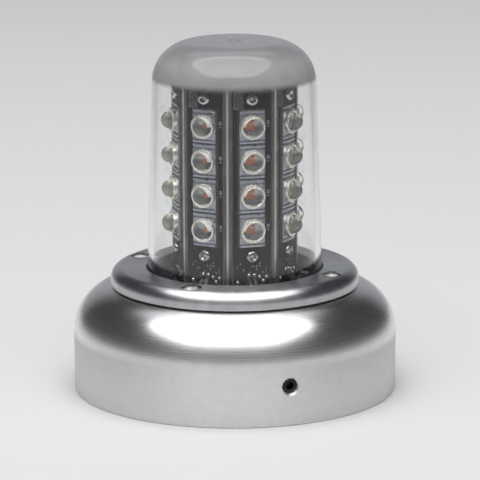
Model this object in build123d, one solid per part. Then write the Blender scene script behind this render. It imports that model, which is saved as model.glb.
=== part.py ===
from build123d import *
import os
from math import asin, cos, degrees, radians, sin, sqrt

# All-round LED navigation light. Millimetres, +Z up, origin at the centre of the base's bottom rim.
# The front is -Y. An azimuth is measured from the front towards +X.

# ---- base housing ----
BASE_R = 41.25
SKIRT_H = 15.0
SHOULDER_R = 12.0
DECK_Z = SKIRT_H + SHOULDER_R
DECK_T = 3.0
RIM_CHAMFER = 0.4
SOCKET_R = 36.25
SOCKET_DEPTH = 14.0
COVER_SEAT_R = 33.3
LEDGE_Z = 17.6
CAVITY_R = 31.0
CAVITY_Z = DECK_Z - DECK_T

# ---- set screws that lock the housing on its mounting spigot ----
SET_SCREW_AZIMUTHS = {"front": 19.4, "right": 139.4, "left": -100.6}
SET_SCREW_Z = 10.0
SET_SCREW_R = 1.90
SET_SCREW_LENGTH = 4.0
SET_SCREW_CLEARANCE = 0.05
SET_SCREW_TIP_R = 36.3
HEX_KEY_AF = 2.0

# ---- cover plate under the electronics ----
COVER_R = 33.0
COVER_T = 2.0
COVER_GASKET_T = 0.4
COVER_TOP_Z = LEDGE_Z - COVER_GASKET_T
COVER_SCREW_PCR = 27.5
COVER_BOSS_R = 3.0
COVER_SCREW_AZIMUTHS = (20, 140, 260)
GROMMET_AZIMUTH = 180
GROMMET_PCR = 25.2
GROMMET_R = 5.4
GROMMET_NECK_R = 4.15
CABLE_R = 2.8

# ---- clear dome and the ring that clamps it ----
DOME_FOOT_R = 22.45
DOME_TOP_R = 20.83
DOME_CROWN_Z = 79.0
DOME_CORNER_R = 10.5
DOME_WALL = 1.5
DOME_TOP_Z = DOME_CROWN_Z + DOME_CORNER_R
DOME_JOINT_Z = 80.4
CORNER_CENTRE_R = DOME_TOP_R - DOME_CORNER_R
TONGUE_R = DOME_TOP_R - DOME_WALL / 2
JOINT_ANGLE = degrees(asin((DOME_JOINT_Z - DOME_CROWN_Z) / DOME_CORNER_R))
DOME_EDGE_R = CORNER_CENTRE_R + DOME_CORNER_R * cos(radians(JOINT_ANGLE))
GATE_R = 1.0
GATE_DEPTH = 0.25
FLANGE_R = 24.5
FLANGE_T = 3.0
RING_R = 31.75
RING_BORE_R = 22.6
RING_TOP_Z = 31.6
RING_FILLET = 3.0
RING_GASKET_T = 0.25
RING_SCREW_PCR = 26.7
RING_SCREW_AZIMUTHS = (-24, 66, 156, 246)
RING_SCREW_LENGTH = 8.0
RING_SCREW_HEAD_R = 2.65
GROOVE_R = 23.2
GROOVE_W = 2.0
GROOVE_DEPTH = 1.3

# ---- eight-sided heat-sink column with its boards ----
SIDES = 8
COLUMN_R = 16.1
COLUMN_TURN = 16.4
SLOT_W = 10.2
BOARD_W = 10.0
BOARD_T = 1.6
PAD_T = 0.2
BOARD_Z0 = 28.6
BOARD_Z1 = 80.9
COLUMN_TOP_Z = 81.0
COLUMN_BORE_R = 8.0
FACE_R = COLUMN_R * cos(radians(180 / SIDES))
SLOT_DEPTH = BOARD_T + PAD_T
BOARD_SCREW_ZS = (37.1, 77.2)
BOARD_SCREW_R = 1.0
TOP_PLATE_T = 2.0
ROD_R = 2.0
POTTING_T = 1.3

# ---- light emitters, four on each board ----
LED_ZS = (43.9, 52.7, 61.5, 70.3)
LED_W = 6.4
LED_H = 8.5
LED_T = 0.6
LED_RING_R = 3.1
LED_RING_BORE_R = 2.4
LED_RING_T = 1.1
LED_LENS_R = 2.3
LED_TIP = 3.9
CUP_TOP_R = 2.2
CUP_FLOOR_R = 1.3
CUP_FLOOR = 0.25
CHIP_W = 1.1
CHIP_T = 0.15

# ---- wires and driver electronics ----
WIRE_R = 0.45
WIRE_PCR = 16.9
WIRE_SPREAD = 0.7
WIRE_HOLE_R = 1.35
DRIVER_R = 19.5
DRIVER_TOP_Z = 22.5
DRIVER_T = 1.6
DRIVER_PCR = 10.5
DRIVER_AZIMUTHS = (30, 150, 270)

FIT = 0.05


def polar(radius, azimuth, z):
    """Point at a radius and azimuth about the light's axis."""
    a = radians(azimuth)
    return Vector(radius * sin(a), -radius * cos(a), z)


def outward(radius, azimuth, z):
    """Place whose local Z points away from the axis, with local Y up."""
    a = radians(azimuth)
    plane = Plane(origin=polar(radius, azimuth, z), x_dir=(cos(a), sin(a), 0), z_dir=(sin(a), -cos(a), 0))
    return plane.location


def rod(radius, z0, z1, at=(0, 0)):
    """Upright cylinder between two heights."""
    return Pos(at[0], at[1], z0) * Cylinder(radius, z1 - z0, align=(Align.CENTER, Align.CENTER, Align.MIN))


def tube(outer_r, inner_r, z0, z1, at=(0, 0)):
    """Upright ring between two heights."""
    return rod(outer_r, z0, z1, at) - rod(inner_r, z0 - 1, z1 + 1, at)


def cone(r0, r1, z0, z1, at=(0, 0)):
    """Upright cone from radius r0 at z0 to radius r1 at z1."""
    return Pos(at[0], at[1], z0) * Cone(r0, r1, z1 - z0, align=(Align.CENTER, Align.CENTER, Align.MIN))


def block(width, height, z0, z1, at=(0, 0)):
    """Upright rectangular block between two heights."""
    return Pos(at[0], at[1], z0) * Box(width, height, z1 - z0, align=(Align.CENTER, Align.CENTER, Align.MIN))


def prism(radius, sides, z0, z1, turn=0.0):
    """Upright regular prism; turn is the azimuth of the middle of one flat."""
    outline = RegularPolygon(radius, sides, rotation=turn - 90 + 180 / sides)
    return Pos(0, 0, z0) * extrude(outline, z1 - z0)


def spots(radius, azimuths):
    """XY places on a circle, one for each azimuth."""
    return [(polar(radius, a, 0).X, polar(radius, a, 0).Y) for a in azimuths]


def revolved(edges):
    """Solid of revolution about Z from a closed outline in the XZ plane."""
    return revolve(make_face(edges), Axis.Z)


def outline(*points):
    """Open run of straight edges through (radius, height) points."""
    return Polyline(*[(r, 0, z) for r, z in points])


def arc(centre_r, centre_z, radius, start, stop):
    """Arc in the XZ plane between two angles, measured up from the outward radius."""
    ends = [(centre_r + radius * cos(radians(t)), 0, centre_z + radius * sin(radians(t)))
            for t in (start, (start + stop) / 2, stop)]
    return ThreePointArc(*ends)


def corner(radius, start, stop):
    """Stretch of the dome's round corner."""
    return arc(CORNER_CENTRE_R, DOME_CROWN_Z, radius, start, stop)


def cross_recess(width, arm, depth, top):
    """Tapered cross cut for a driver's bit, opening upwards at height top."""
    one = block(width, arm, top - depth, top + 0.5)
    return one + Rot(0, 0, 90) * one + cone(0.1, arm, top - depth, top + 0.1)


def underneath(recess, low, at):
    """Turn a recess made at height low over, so that it opens downwards there."""
    return Pos(at[0], at[1], 2 * low) * mirror(recess, Plane.XY)


def save(name, *solids):
    """Write one node; several solids make a group."""
    shape = solids[0] if len(solids) == 1 else Compound(children=list(solids))
    export_step(shape, f"parts/{name}.step")


# ---------------------------------------------------------------- base

def base_housing():
    """Turned cup: skirt, round shoulder, deck, spigot socket below and electronics cavity above it."""
    edges = [
        outline((0, DECK_Z), (0, CAVITY_Z), (CAVITY_R, CAVITY_Z), (CAVITY_R, LEDGE_Z),
                (COVER_SEAT_R, LEDGE_Z), (COVER_SEAT_R, SOCKET_DEPTH), (SOCKET_R, SOCKET_DEPTH),
                (SOCKET_R, 0), (BASE_R - RIM_CHAMFER, 0), (BASE_R, RIM_CHAMFER), (BASE_R, SKIRT_H)),
        arc(BASE_R - SHOULDER_R, SKIRT_H, SHOULDER_R, 0, 90),
        outline((BASE_R - SHOULDER_R, DECK_Z), (0, DECK_Z)),
    ]
    body = revolved(edges)
    body += rod(COLUMN_BORE_R - 0.1, DECK_Z, DECK_Z + 1)
    body -= tube(GROOVE_R + GROOVE_W / 2, GROOVE_R - GROOVE_W / 2, DECK_Z - GROOVE_DEPTH, DECK_Z + 1)
    body -= rod(ROD_R + 0.1, CAVITY_Z - 1, DECK_Z + 2)
    for at in spots(COVER_SCREW_PCR, COVER_SCREW_AZIMUTHS):
        body += rod(COVER_BOSS_R, COVER_TOP_Z, CAVITY_Z + 0.5, at)
        body -= rod(1.25, COVER_TOP_Z - 1, CAVITY_Z - 1, at)
    for at in spots(WIRE_PCR, face_azimuths()):
        body -= rod(WIRE_HOLE_R, CAVITY_Z - 1, DECK_Z + 1, at)
    for at in spots(RING_SCREW_PCR, RING_SCREW_AZIMUTHS):
        body -= rod(1.5, CAVITY_Z - 1, DECK_Z + 1, at)
    for at in spots(DRIVER_PCR, DRIVER_AZIMUTHS):
        body -= rod(1.25, CAVITY_Z - 1, CAVITY_Z + 2.2, at)
    hole_r = SET_SCREW_R + SET_SCREW_CLEARANCE
    mouth = cone(hole_r, hole_r + 0.5, BASE_R - 0.45, BASE_R + 0.05)
    bore = rod(hole_r, SOCKET_R - 2, SOCKET_R + 8)
    for azimuth in SET_SCREW_AZIMUTHS.values():
        body -= outward(0, azimuth, SET_SCREW_Z) * (bore + mouth)
    return body


def set_screw(azimuth):
    """Headless screw with a hexagonal socket outside and a cup point towards the spigot."""
    body = Cylinder(SET_SCREW_R, SET_SCREW_LENGTH, align=(Align.CENTER, Align.CENTER, Align.MIN))
    body = chamfer(body.edges().filter_by(GeomType.CIRCLE), 0.3)
    body -= Cone(0.9, 0.2, 0.5, align=(Align.CENTER, Align.CENTER, Align.MIN))
    hexagon = extrude(RegularPolygon(HEX_KEY_AF / sqrt(3), 6), 3)
    body -= Pos(0, 0, SET_SCREW_LENGTH - 1.8) * hexagon
    return outward(SET_SCREW_TIP_R, azimuth, SET_SCREW_Z) * body


def cover_plate():
    """Round plate that closes the electronics cavity from below."""
    body = rod(COVER_R, COVER_TOP_Z - COVER_T, COVER_TOP_Z)
    for at in spots(COVER_SCREW_PCR, COVER_SCREW_AZIMUTHS):
        body -= rod(1.35, COVER_TOP_Z - 3, COVER_TOP_Z + 1, at)
        body -= cone(2.45, 1.35, COVER_TOP_Z - COVER_T, COVER_TOP_Z - COVER_T + 1.1, at)
    at = spots(GROMMET_PCR, [GROMMET_AZIMUTH])[0]
    return body - rod(GROMMET_NECK_R + FIT, COVER_TOP_Z - 3, COVER_TOP_Z + 1, at)


def cover_screw(at):
    """Countersunk screw driven up through the cover plate."""
    low = COVER_TOP_Z - COVER_T
    body = cone(2.38, 1.2, low + 0.05, low + 1.15, at) + rod(1.2, low + 1, CAVITY_Z - 1.5, at)
    head_face = low + 0.05
    return body - underneath(cross_recess(2.2, 0.5, 0.9, head_face), head_face, at)


def cable_grommet():
    """Rubber bush with a groove that grips the cover plate and a hole for the supply cable."""
    at = spots(GROMMET_PCR, [GROMMET_AZIMUTH])[0]
    low = COVER_TOP_Z - COVER_T
    body = rod(GROMMET_R, low - 0.8, low, at) + rod(GROMMET_NECK_R, low, COVER_TOP_Z, at)
    body += rod(GROMMET_R, COVER_TOP_Z, COVER_TOP_Z + 0.8, at)
    return body - rod(CABLE_R, low - 2, COVER_TOP_Z + 2, at)


# ---------------------------------------------------------------- driver electronics

def driver_board():
    """Round circuit board with a clear centre for the tie rod's nut."""
    body = tube(DRIVER_R, 5.5, DRIVER_TOP_Z - DRIVER_T, DRIVER_TOP_Z)
    for at in spots(DRIVER_PCR, DRIVER_AZIMUTHS):
        body -= rod(1.35, DRIVER_TOP_Z - 3, DRIVER_TOP_Z + 1, at)
    return body


def driver_parts():
    """Inductor, controller, two capacitors and the cable terminal, all under the driver board."""
    under = DRIVER_TOP_Z - DRIVER_T
    inductor = fillet(block(6.5, 6.5, under - 2.6, under, (12.5, 1)).edges().filter_by(Axis.Z), 1.0)
    controller = block(5.0, 4.0, under - 1.5, under, (-5, -12.5))
    capacitors = [rod(2.0, under - 2.8, under, at) for at in ((4.5, -13.5), (0, 12.5))]
    terminal = block(8.0, 4.5, under - 2.8, under, (-9, 11.0))
    for x in (-11, -7):
        terminal -= rod(1.0, under - 4, under - 1, (x, 11.0))
    return [inductor, controller, *capacitors, terminal]


def driver_screw(at):
    """Pan-head screw that holds the driver board up against its spacer."""
    under = DRIVER_TOP_Z - DRIVER_T
    head = fillet(rod(2.2, under - 1.3, under, at).edges().group_by(Axis.Z)[0], 0.6)
    body = head + rod(1.2, under - 0.1, CAVITY_Z + 2, at)
    head_face = under - 1.3
    return body - underneath(cross_recess(1.8, 0.5, 0.8, head_face), head_face, at)


# ---------------------------------------------------------------- dome and clamp ring

def dome_radius(z):
    """Outside radius of the drafted wall at a height."""
    share = (z - DECK_Z) / (DOME_CROWN_Z - DECK_Z)
    return DOME_FOOT_R + (DOME_TOP_R - DOME_FOOT_R) * share


def lens_tube():
    """Clear drafted tube: foot flange for the clamp ring below, stepped edge for the cap above."""
    flange_z = DECK_Z + FLANGE_T
    edges = [
        outline((DOME_TOP_R - DOME_WALL, DOME_CROWN_Z), (DOME_FOOT_R - DOME_WALL, DECK_Z), (FLANGE_R, DECK_Z),
                (FLANGE_R, flange_z), (dome_radius(flange_z), flange_z), (DOME_TOP_R, DOME_CROWN_Z)),
        corner(DOME_CORNER_R, 0, JOINT_ANGLE),
        outline((DOME_EDGE_R, DOME_JOINT_Z), (TONGUE_R, DOME_JOINT_Z), (TONGUE_R, DOME_CROWN_Z),
                (DOME_TOP_R - DOME_WALL, DOME_CROWN_Z)),
    ]
    return revolved(edges)


def lens_cap():
    """Frosted crown with a tongue that is bonded inside the tube's stepped edge."""
    inside_top = DOME_TOP_Z - DOME_WALL
    edges = [
        outline((DOME_TOP_R - DOME_WALL, DOME_CROWN_Z), (TONGUE_R - FIT, DOME_CROWN_Z),
                (TONGUE_R - FIT, DOME_JOINT_Z), (DOME_EDGE_R, DOME_JOINT_Z)),
        corner(DOME_CORNER_R, JOINT_ANGLE, 90),
        outline((CORNER_CENTRE_R, DOME_TOP_Z), (0, DOME_TOP_Z), (0, inside_top),
                (CORNER_CENTRE_R, inside_top)),
        corner(DOME_CORNER_R - DOME_WALL, 90, 0),
    ]
    return revolved(edges) - rod(GATE_R, DOME_TOP_Z - GATE_DEPTH, DOME_TOP_Z + 1)


def lens_o_ring():
    """Rubber ring that fills the deck's groove under the dome's flange."""
    inner = GROOVE_R - GROOVE_W / 2 + FIT
    outer = GROOVE_R + GROOVE_W / 2 - FIT
    ring = tube(outer, inner, DECK_Z - GROOVE_DEPTH, DECK_Z)
    return fillet(ring.edges().filter_by(GeomType.CIRCLE), 0.5)


def ring_gasket():
    """Flat rubber gasket between the clamp ring and the deck."""
    body = tube(RING_R - 1.75, FLANGE_R + 0.1, DECK_Z, DECK_Z + RING_GASKET_T)
    for at in spots(RING_SCREW_PCR, RING_SCREW_AZIMUTHS):
        body -= rod(1.6, DECK_Z - 1, DECK_Z + 2, at)
    return body


def clamp_ring():
    """Turned ring with a round outer edge, a countersink for each screw and a step over the flange."""
    low = DECK_Z + RING_GASKET_T
    flange_z = DECK_Z + FLANGE_T
    edges = [
        outline((FLANGE_R + 0.1, low), (RING_R, low), (RING_R, RING_TOP_Z - RING_FILLET)),
        arc(RING_R - RING_FILLET, RING_TOP_Z - RING_FILLET, RING_FILLET, 0, 90),
        outline((RING_R - RING_FILLET, RING_TOP_Z), (RING_BORE_R + 0.2, RING_TOP_Z),
                (RING_BORE_R, RING_TOP_Z - 0.2), (RING_BORE_R, flange_z), (FLANGE_R + 0.1, flange_z),
                (FLANGE_R + 0.1, low)),
    ]
    body = revolved(edges)
    head_h = RING_SCREW_HEAD_R - 1.5
    for at in spots(RING_SCREW_PCR, RING_SCREW_AZIMUTHS):
        body -= rod(1.6, low - 1, RING_TOP_Z + 1, at)
        body -= cone(1.5, RING_SCREW_HEAD_R, RING_TOP_Z - head_h, RING_TOP_Z, at)
    return body


def ring_screw(at):
    """Raised countersunk screw with a cross recess."""
    head_h = RING_SCREW_HEAD_R - 1.5
    crown = 0.45
    ball_r = (RING_SCREW_HEAD_R ** 2 + crown ** 2) / (2 * crown)
    ball = Pos(0, 0, RING_TOP_Z + crown - ball_r) * Sphere(ball_r)
    head = cone(1.5 - 0.03, RING_SCREW_HEAD_R - 0.03, RING_TOP_Z - head_h, RING_TOP_Z)
    head += ball & rod(RING_SCREW_HEAD_R - 0.03, RING_TOP_Z, RING_TOP_Z + 1)
    body = head + rod(1.46, RING_TOP_Z - RING_SCREW_LENGTH, RING_TOP_Z - head_h)
    body -= cross_recess(2.7, 0.6, 1.2, RING_TOP_Z + crown)
    return Pos(at[0], at[1], 0) * body


# ---------------------------------------------------------------- column

def face_azimuths():
    """Azimuths of the eight board faces."""
    return [COLUMN_TURN + i * 360 / SIDES for i in range(SIDES)]


def column_core():
    """Eight-sided heat sink: a bored prism with a slot for a board in each side, ribs left at the corners."""
    body = prism(COLUMN_R, SIDES, DECK_Z, COLUMN_TOP_Z, COLUMN_TURN)
    body -= rod(COLUMN_BORE_R, DECK_Z - 1, COLUMN_TOP_Z + 1)
    slot = Box(SLOT_W, 200, SLOT_DEPTH, align=(Align.CENTER, Align.CENTER, Align.MAX))
    hole = Cylinder(BOARD_SCREW_R, 3.6, align=(Align.CENTER, Align.CENTER, Align.MAX))
    for azimuth in face_azimuths():
        body -= outward(FACE_R, azimuth, 0) * slot
        for z in BOARD_SCREW_ZS:
            body -= outward(FACE_R - SLOT_DEPTH, azimuth, z) * hole
    return body


def top_plate():
    """Eight-sided plate with a centring spigot that the tie rod pulls down on the column."""
    body = prism(COLUMN_R - 0.7, SIDES, COLUMN_TOP_Z, COLUMN_TOP_Z + TOP_PLATE_T, COLUMN_TURN)
    body += rod(COLUMN_BORE_R - 0.1, COLUMN_TOP_Z - 1.5, COLUMN_TOP_Z)
    return body - rod(ROD_R + 0.1, COLUMN_TOP_Z - 3, COLUMN_TOP_Z + 5)


def sheet(thickness, behind):
    """Board-sized sheet in face coordinates with its front a given depth behind the face, two screw holes."""
    middle = (BOARD_Z0 + BOARD_Z1) / 2
    body = Box(BOARD_W, BOARD_Z1 - BOARD_Z0, thickness, align=(Align.CENTER, Align.CENTER, Align.MAX))
    for z in BOARD_SCREW_ZS:
        body -= Pos(0, z - middle, 0) * Cylinder(BOARD_SCREW_R + 0.1, 3 * thickness)
    return Pos(0, middle, -behind) * body


def board_screw():
    """Small pan-head screw with a cross recess, its head's seat at local Z zero."""
    head = Cylinder(1.6, 1.2, align=(Align.CENTER, Align.CENTER, Align.MIN))
    head = fillet(head.edges().group_by(Axis.Z)[-1], 0.7)
    shank = Cylinder(BOARD_SCREW_R - 0.03, 4.8, align=(Align.CENTER, Align.CENTER, Align.MAX))
    return head + shank - cross_recess(1.9, 0.42, 0.8, 1.2)


# ---------------------------------------------------------------- light emitters, in face coordinates

def led_package():
    """Flat emitter body with chamfered corners and a conical reflector cup."""
    body = block(LED_W, LED_H, 0, LED_T)
    body = chamfer(body.edges().filter_by(Axis.Z), 0.5)
    return body - cone(CUP_FLOOR_R, CUP_TOP_R, CUP_FLOOR, LED_T)


def led_chip():
    """Square light-emitting die on the cup's floor."""
    return block(CHIP_W, CHIP_W, CUP_FLOOR, CUP_FLOOR + CHIP_T)


def led_ring():
    """Metal collar that stands on the package round the lens."""
    return tube(LED_RING_R, LED_RING_BORE_R, LED_T, LED_T + LED_RING_T)


def led_lens():
    """Clear lens: a plug in the cup, a short barrel and a domed front."""
    ball_z = LED_TIP - LED_LENS_R
    dome = Pos(0, 0, ball_z) * Sphere(LED_LENS_R)
    dome &= rod(LED_LENS_R + 1, ball_z, LED_TIP + 1)
    plug_z = CUP_FLOOR + CHIP_T + 0.05
    plug = cone(CUP_FLOOR_R + 0.05, CUP_TOP_R - 0.05, plug_z, LED_T)
    return plug + rod(LED_LENS_R, LED_T, ball_z) + dome


def wire(side):
    """Insulated wire from a pad at the board's foot, out and down through the deck to the driver board."""
    pad = FACE_R + WIRE_R + 0.1
    route = Spline((0, pad - FACE_R, 32.2), (0, pad - FACE_R, 31.6), (0, WIRE_PCR - FACE_R, 29.4),
                   (0, WIRE_PCR - FACE_R, 28.9), tangents=((0, 0, -1), (0, 0, -1)))
    drop = Line((0, WIRE_PCR - FACE_R, 28.9), (0, WIRE_PCR - FACE_R, DRIVER_TOP_Z))
    path = Wire([route.edge(), drop.edge()])
    profile = Plane(origin=path @ 0, z_dir=path % 0) * Circle(WIRE_R)
    return Pos(side * WIRE_SPREAD, 0, 0) * sweep(profile, path)


def foot_potting():
    """Black sealing compound poured on the deck between the column and the dome."""
    body = rod(DOME_FOOT_R - DOME_WALL - 0.1, DECK_Z, DECK_Z + POTTING_T)
    body -= prism(COLUMN_R + 0.05, SIDES, DECK_Z - 1, DECK_Z + 5, COLUMN_TURN)
    for azimuth in face_azimuths():
        for side in (-1, 1):
            place = Rot(0, 0, azimuth) * Pos(side * WIRE_SPREAD, -WIRE_PCR, 0)
            body -= place * rod(WIRE_R + 0.03, DECK_Z - 1, DECK_Z + 3)
    return body


# ---------------------------------------------------------------- write the nodes

os.makedirs("parts", exist_ok=True)

save("base_housing", base_housing())
save("cover_plate", cover_plate())
save("cover_gasket", tube(COVER_R, CAVITY_R, COVER_TOP_Z, LEDGE_Z))
save("cover_screws", *[cover_screw(at) for at in spots(COVER_SCREW_PCR, COVER_SCREW_AZIMUTHS)])
save("cable_grommet", cable_grommet())
for side, azimuth in SET_SCREW_AZIMUTHS.items():
    save(f"set_screw_{side}", set_screw(azimuth))

save("driver_board", driver_board())
save("driver_parts", *driver_parts())
driver_spots = spots(DRIVER_PCR, DRIVER_AZIMUTHS)
save("driver_spacers", *[tube(2.2, 1.35, DRIVER_TOP_Z, CAVITY_Z, at) for at in driver_spots])
save("driver_screws", *[driver_screw(at) for at in driver_spots])

save("ring_gasket", ring_gasket())
save("clamp_ring", clamp_ring())
save("ring_screws", *[ring_screw(at) for at in spots(RING_SCREW_PCR, RING_SCREW_AZIMUTHS)])
save("lens_o_ring", lens_o_ring())
save("lens_tube", lens_tube())
save("lens_cap", lens_cap())
save("foot_potting", foot_potting())

save("column_core", column_core())
save("top_plate", top_plate())
rod_top = COLUMN_TOP_Z + TOP_PLATE_T + 4.4
rod_low = CAVITY_Z - 4.4
save("tie_rod", chamfer(rod(ROD_R, rod_low, rod_top).edges().filter_by(GeomType.CIRCLE), 0.3))
washer_zs = (CAVITY_Z - 0.8, COLUMN_TOP_Z + TOP_PLATE_T)
nut_zs = (CAVITY_Z - 4.0, COLUMN_TOP_Z + TOP_PLATE_T + 0.8)
nut_hole = rod(ROD_R + 0.03, 0, 100)
save("tie_washers", *[tube(4.5, ROD_R + 0.15, z, z + 0.8) for z in washer_zs])
save("tie_nuts", *[prism(7 / sqrt(3), 6, z, z + 3.2) - nut_hole for z in nut_zs])

board = sheet(BOARD_T, 0)
pad = sheet(PAD_T, BOARD_T)
places = [outward(FACE_R, azimuth, 0) for azimuth in face_azimuths()]
for number, place in enumerate(places, start=1):
    save(f"led_board_{number}", place * board)
save("thermal_pads", *[place * pad for place in places])

screw = board_screw()
save("board_screws", *[place * Pos(0, z, 0) * screw for place in places for z in BOARD_SCREW_ZS])
for name, piece in (("led_packages", led_package()), ("led_chips", led_chip()),
                    ("led_rings", led_ring()), ("led_lenses", led_lens())):
    save(name, *[place * Pos(0, z, 0) * piece for place in places for z in LED_ZS])
wires = [Pos(0, -FACE_R, 0) * Rot(0, 0, 180) * wire(side) for side in (-1, 1)]
save("led_wires", *[Rot(0, 0, azimuth) * lead for azimuth in face_azimuths() for lead in wires])
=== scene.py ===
# %% [markdown]
# # An all-round navigation light, looks only
# The engineering model of the light comes in as a fixed frame. This lesson gives it its finish: turned
# pieces are spun again with fine, smooth profiles, the light emitters get their real lenses and cups, and
# every surface gets a procedural material. Lengths are in metres, +Z is up and the front is -Y.

from math import asin, cos, degrees, pi, radians, sin

import bpy
from mathutils import Matrix, Vector


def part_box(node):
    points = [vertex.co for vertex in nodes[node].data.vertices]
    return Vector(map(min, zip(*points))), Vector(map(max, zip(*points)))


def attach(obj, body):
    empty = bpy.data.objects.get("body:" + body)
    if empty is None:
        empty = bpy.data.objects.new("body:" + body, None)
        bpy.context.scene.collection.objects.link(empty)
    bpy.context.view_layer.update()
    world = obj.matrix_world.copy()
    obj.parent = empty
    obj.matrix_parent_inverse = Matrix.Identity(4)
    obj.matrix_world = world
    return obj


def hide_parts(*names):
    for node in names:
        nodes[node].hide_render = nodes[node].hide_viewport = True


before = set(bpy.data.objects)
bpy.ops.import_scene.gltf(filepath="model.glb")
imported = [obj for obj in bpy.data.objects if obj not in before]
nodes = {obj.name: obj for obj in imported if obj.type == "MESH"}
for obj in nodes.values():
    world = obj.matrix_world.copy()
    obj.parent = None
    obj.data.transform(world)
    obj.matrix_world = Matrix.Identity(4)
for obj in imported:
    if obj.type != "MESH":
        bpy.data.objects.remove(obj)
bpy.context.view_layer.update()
BODY = "light"
MM = 0.001

# %% [markdown]
# ## Helpers for modelling
# Every piece starts as a primitive and is shaped with edit-mode operators. The operators act on whatever
# is selected, so each piece begins with nothing selected. Work is in millimetres through one factor.

# %% Start and finish a piece
def clear_selection():
    """Leave edit mode with nothing selected."""
    if bpy.context.mode != "OBJECT":
        bpy.ops.object.mode_set(mode="OBJECT")
    bpy.ops.object.select_all(action="DESELECT")


def begin(name):
    """Name the object that an operator has just added, and return it."""
    piece = bpy.context.active_object
    piece.name = name
    piece.data.name = name
    return piece


def activate(piece):
    """Select one object only."""
    clear_selection()
    piece.select_set(True)
    bpy.context.view_layer.objects.active = piece


def settle(piece):
    """Put a piece's place, turn and size into its mesh."""
    activate(piece)
    bpy.ops.object.transform_apply(location=True, rotation=True, scale=True)


def smooth(piece, angle=30):
    """Smooth shading with sharp edges above an angle in degrees."""
    activate(piece)
    bpy.ops.object.shade_smooth_by_angle(angle=radians(angle))


def apply_modifiers(piece):
    """Apply every modifier in turn."""
    activate(piece)
    for modifier in list(piece.modifiers):
        bpy.ops.object.modifier_apply(modifier=modifier.name)


def keep(piece, body, *replaced, finish=None, angle=30, slot=None):
    """Finish a piece: shading, material, and the CAD body and nodes it stands for; the slot argument is not
    used.
    """
    smooth(piece, angle)
    if finish is not None:
        piece.data.materials.clear()
        piece.data.materials.append(finish)
    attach(piece, body)
    if replaced:
        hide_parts(*replaced)
    return piece


print("helpers ready")

# %% [markdown]
# A lathe makes most of this light, so most pieces are an outline turned about the vertical axis. The
# outline is drawn as by hand: one vertex is extruded from point to point, then spun. Points on the axis
# meet in a pole, and merging by distance closes the seam and the poles.

# %% Turn an outline
def round_corner(centre_r, centre_z, radius, start, stop, steps=16):
    """Points of an arc in an outline, between two angles in degrees up from the outward radius."""
    angles = [radians(start + (stop - start) * i / steps) for i in range(steps + 1)]
    return [(centre_r + radius * cos(a), centre_z + radius * sin(a)) for a in angles]


def turned(name, outline, steps=192, closed=True):
    """Solid of revolution about Z from (radius, height) points in millimetres."""
    clear_selection()
    points = list(outline) + ([outline[0]] if closed else [])
    r0, z0 = points[0]
    bpy.ops.mesh.primitive_plane_add(size=MM, location=(r0 * MM, 0, z0 * MM))
    piece = begin(name)
    bpy.ops.object.mode_set(mode="EDIT")
    bpy.ops.mesh.select_mode(type="VERT")
    bpy.ops.mesh.select_all(action="SELECT")
    bpy.ops.mesh.merge(type="CENTER")
    for (ra, za), (rb, zb) in zip(points, points[1:]):
        step = ((rb - ra) * MM, 0, (zb - za) * MM)
        bpy.ops.mesh.extrude_region_move(TRANSFORM_OT_translate={"value": step})
    bpy.ops.mesh.select_all(action="SELECT")
    bpy.ops.mesh.spin(steps=steps, angle=2 * pi, center=(0, 0, 0), axis=(0, 0, 1))
    bpy.ops.mesh.select_all(action="SELECT")
    bpy.ops.mesh.remove_doubles(threshold=0.002 * MM)
    bpy.ops.mesh.normals_make_consistent(inside=False)
    settle(piece)
    print(name, len(piece.data.polygons), "faces")
    return piece


# %% [markdown]
# ## Shader maths
# A small class wraps a socket, so that a pattern reads as an ordinary expression. Each operator adds one
# Math node. A second class builds a material around one Principled shader.

# %% Numbers in shaders
class Number:
    """A number socket that can be used in arithmetic."""

    def __init__(self, tree, socket):
        self.tree = tree
        self.socket = socket

    def maths(self, operation, *others, clamp=False):
        """One Math node with this number first."""
        node = self.tree.nodes.new("ShaderNodeMath")
        node.operation = operation
        node.use_clamp = clamp
        for slot, value in zip(node.inputs, (self, *others)):
            if isinstance(value, Number):
                self.tree.links.new(value.socket, slot)
            else:
                slot.default_value = value
        return Number(self.tree, node.outputs[0])

    def flipped(self, operation, other):
        """One Math node with this number second."""
        node = self.tree.nodes.new("ShaderNodeMath")
        node.operation = operation
        node.inputs[0].default_value = other
        self.tree.links.new(self.socket, node.inputs[1])
        return Number(self.tree, node.outputs[0])

    def __add__(self, other):
        return self.maths("ADD", other)

    def __radd__(self, other):
        return self.flipped("ADD", other)

    def __sub__(self, other):
        return self.maths("SUBTRACT", other)

    def __rsub__(self, other):
        return self.flipped("SUBTRACT", other)

    def __mul__(self, other):
        return self.maths("MULTIPLY", other)

    def __rmul__(self, other):
        return self.flipped("MULTIPLY", other)

    def __truediv__(self, other):
        return self.maths("DIVIDE", other)

    def __gt__(self, other):
        return self.maths("GREATER_THAN", other)

    def __lt__(self, other):
        return self.maths("LESS_THAN", other)

    def __abs__(self):
        return self.maths("ABSOLUTE")

    def root(self):
        return self.maths("SQRT")

    def sine(self):
        return self.maths("SINE")

    def clamped(self):
        return self.maths("ADD", 0.0, clamp=True)

    def between(self, low, high):
        """Smooth step: 0 below low, 1 above high."""
        node = self.tree.nodes.new("ShaderNodeMapRange")
        node.interpolation_type = "SMOOTHSTEP"
        self.tree.links.new(self.socket, node.inputs["Value"])
        node.inputs["From Min"].default_value = low
        node.inputs["From Max"].default_value = high
        return Number(self.tree, node.outputs["Result"])


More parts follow.
